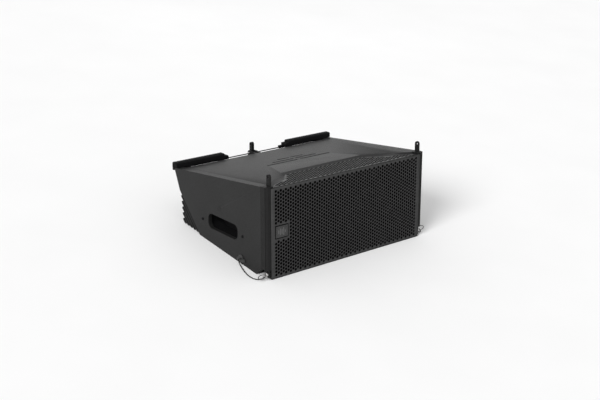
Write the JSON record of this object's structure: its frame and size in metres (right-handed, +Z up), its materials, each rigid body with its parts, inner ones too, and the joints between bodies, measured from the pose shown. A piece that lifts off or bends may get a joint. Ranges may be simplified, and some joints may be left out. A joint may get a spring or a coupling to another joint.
{
  "type": "line array speaker",
  "caption": "Wedge-shaped line array element with perforated front grille, sliding front links, folding rear arm, quick-release pins, finned rear amplifier and recessed side handles.",
  "frame": {"origin": "on the floor under the middle of the cabinet's width and depth", "axes": "+Z up, -Y towards the listeners (grille side), +X to the right seen from the front"},
  "size_m": [0.7772, 0.5874, 0.3466],
  "materials": {
    "cabinet": "matt textured black paint",
    "baffle": "matt black paint",
    "plywood": "bare birch ply",
    "grille": "matt black powder coat",
    "foam": "open cell",
    "badge": "satin black",
    "fastener": "black zinc",
    "basket": "black die cast",
    "magnet": "satin",
    "surround": "treated cloth",
    "spider": "treated cloth",
    "cone": "treated pulp",
    "chassis": "black cast, matt",
    "display": "dark window",
    "knob": "satin",
    "button": "satin",
    "sockets": "black plated",
    "mains": "satin",
    "board": "solder mask",
    "winding": "enamelled wire",
    "capacitor": "sleeve",
    "rigging": "black powder coat on steel",
    "pin": "bright",
    "lanyard": "sheathed wire rope",
    "moulding": "fine grain",
    "rod": "satin black"
  },
  "bodies": {
    "cabinet": {"side_panel_left": "cabinet", "side_panel_right": "cabinet", "top_panel": "cabinet", "bottom_panel": "cabinet", "baffle": "baffle", "rear_panel": "cabinet", "divider_left": "plywood", "divider_right": "plywood", "grille": "grille", "grille_foam": "foam", "badge": "badge", "grille_screws": "fastener", "woofer_frame_left": "basket", "woofer_frame_right": "basket", "woofer_magnet_left": "magnet", "woofer_magnet_right": "magnet", "surround_left": "surround", "surround_right": "surround", "spider_left": "spider", "spider_right": "spider", "waveguide": "baffle", "compression_driver_upper": "magnet", "compression_driver_lower": "magnet", "amp_chassis": "chassis", "heatsink_left": "chassis", "heatsink_right": "chassis", "io_housing": "chassis", "io_panel": "chassis", "display": "display", "signal_sockets": "sockets", "network_sockets": "sockets", "mains_sockets": "mains", "amp_board": "board", "transformer": "winding", "capacitors": "capacitor", "front_post_left": "rigging", "front_post_right": "rigging", "lanyard_anchors": "fastener", "rear_bracket": "rigging", "handle_cup_left": "moulding", "handle_cup_right": "moulding", "rear_bar_left": "moulding", "rear_bar_right": "moulding", "guard_rod": "rod"},
    "link_left": {"link_left": "rigging"},
    "link_right": {"link_right": "rigging"},
    "arm": {"rear_arm": "rigging"},
    "pin_left": {"pin_left": "pin", "lanyard_left": "lanyard"},
    "pin_right": {"pin_right": "pin", "lanyard_right": "lanyard"},
    "pin_rear": {"rear_pin": "pin"},
    "ring_left": {"ring_left": "pin"},
    "ring_right": {"ring_right": "pin"},
    "ring_rear": {"rear_ring": "pin"},
    "knob": {"encoder_knob": "knob"},
    "button_back": {"button_back": "button"},
    "button_next": {"button_next": "button"},
    "cone_left": {"woofer_cone_left": "cone"},
    "cone_right": {"woofer_cone_right": "cone"}
  },
  "joints": [
    {"name": "link_left_lift", "type": "slide", "parent": "cabinet", "child": "link_left", "axis": [0, 0.1564, 0.9877], "range_m": [-0.04, 0]},
    {"name": "link_right_lift", "type": "slide", "parent": "cabinet", "child": "link_right", "axis": [0, 0.1564, 0.9877], "range_m": [-0.04, 0]},
    {"name": "pin_left_pull", "type": "slide", "parent": "cabinet", "child": "pin_left", "axis": [-1, 0, 0], "range_m": [0, 0.034]},
    {"name": "ring_left_swing", "type": "hinge", "parent": "pin_left", "child": "ring_left", "pos_m": [-0.3545, -0.27759, 0.01567], "axis": [0, 0.9877, -0.1564], "range_deg": [-3, 98]},
    {"name": "pin_right_pull", "type": "slide", "parent": "cabinet", "child": "pin_right", "axis": [1, 0, 0], "range_m": [0, 0.034]},
    {"name": "ring_right_swing", "type": "hinge", "parent": "pin_right", "child": "ring_right", "pos_m": [0.3545, -0.27759, 0.01567], "axis": [0, -0.9877, 0.1564], "range_deg": [-51, 50]},
    {"name": "arm_fold", "type": "hinge", "parent": "cabinet", "child": "arm", "pos_m": [0, 0.28158, 0.17414], "axis": [1, 0, 0], "range_deg": [-175, 0]},
    {"name": "pin_rear_pull", "type": "slide", "parent": "cabinet", "child": "pin_rear", "axis": [1, 0, 0], "range_m": [0, 0.034]},
    {"name": "ring_rear_swing", "type": "hinge", "parent": "pin_rear", "child": "ring_rear", "pos_m": [0.0242, 0.28158, 0.17414], "axis": [0, -0.9877, 0.1564], "range_deg": [-6, 150]},
    {"name": "knob_turn", "type": "hinge", "parent": "cabinet", "child": "knob", "pos_m": [-0.006, 0.20111, 0.08159], "axis": [0, 0.9877, -0.1564], "continuous": true},
    {"name": "button_back_press", "type": "slide", "parent": "cabinet", "child": "button_back", "axis": [0, -0.9877, 0.1564], "range_m": [0, 0.0015], "stiffness_N_per_m": 400},
    {"name": "button_next_press", "type": "slide", "parent": "cabinet", "child": "button_next", "axis": [0, -0.9877, 0.1564], "range_m": [0, 0.0015], "stiffness_N_per_m": 400},
    {"name": "cone_left_stroke", "type": "slide", "parent": "cabinet", "child": "cone_left", "axis": [0, 0.9877, -0.1564], "range_m": [-0.005, 0.005], "stiffness_N_per_m": 3000},
    {"name": "cone_right_stroke", "type": "slide", "parent": "cabinet", "child": "cone_right", "axis": [0, 0.9877, -0.1564], "range_m": [-0.005, 0.005], "stiffness_N_per_m": 3000}
  ]
}
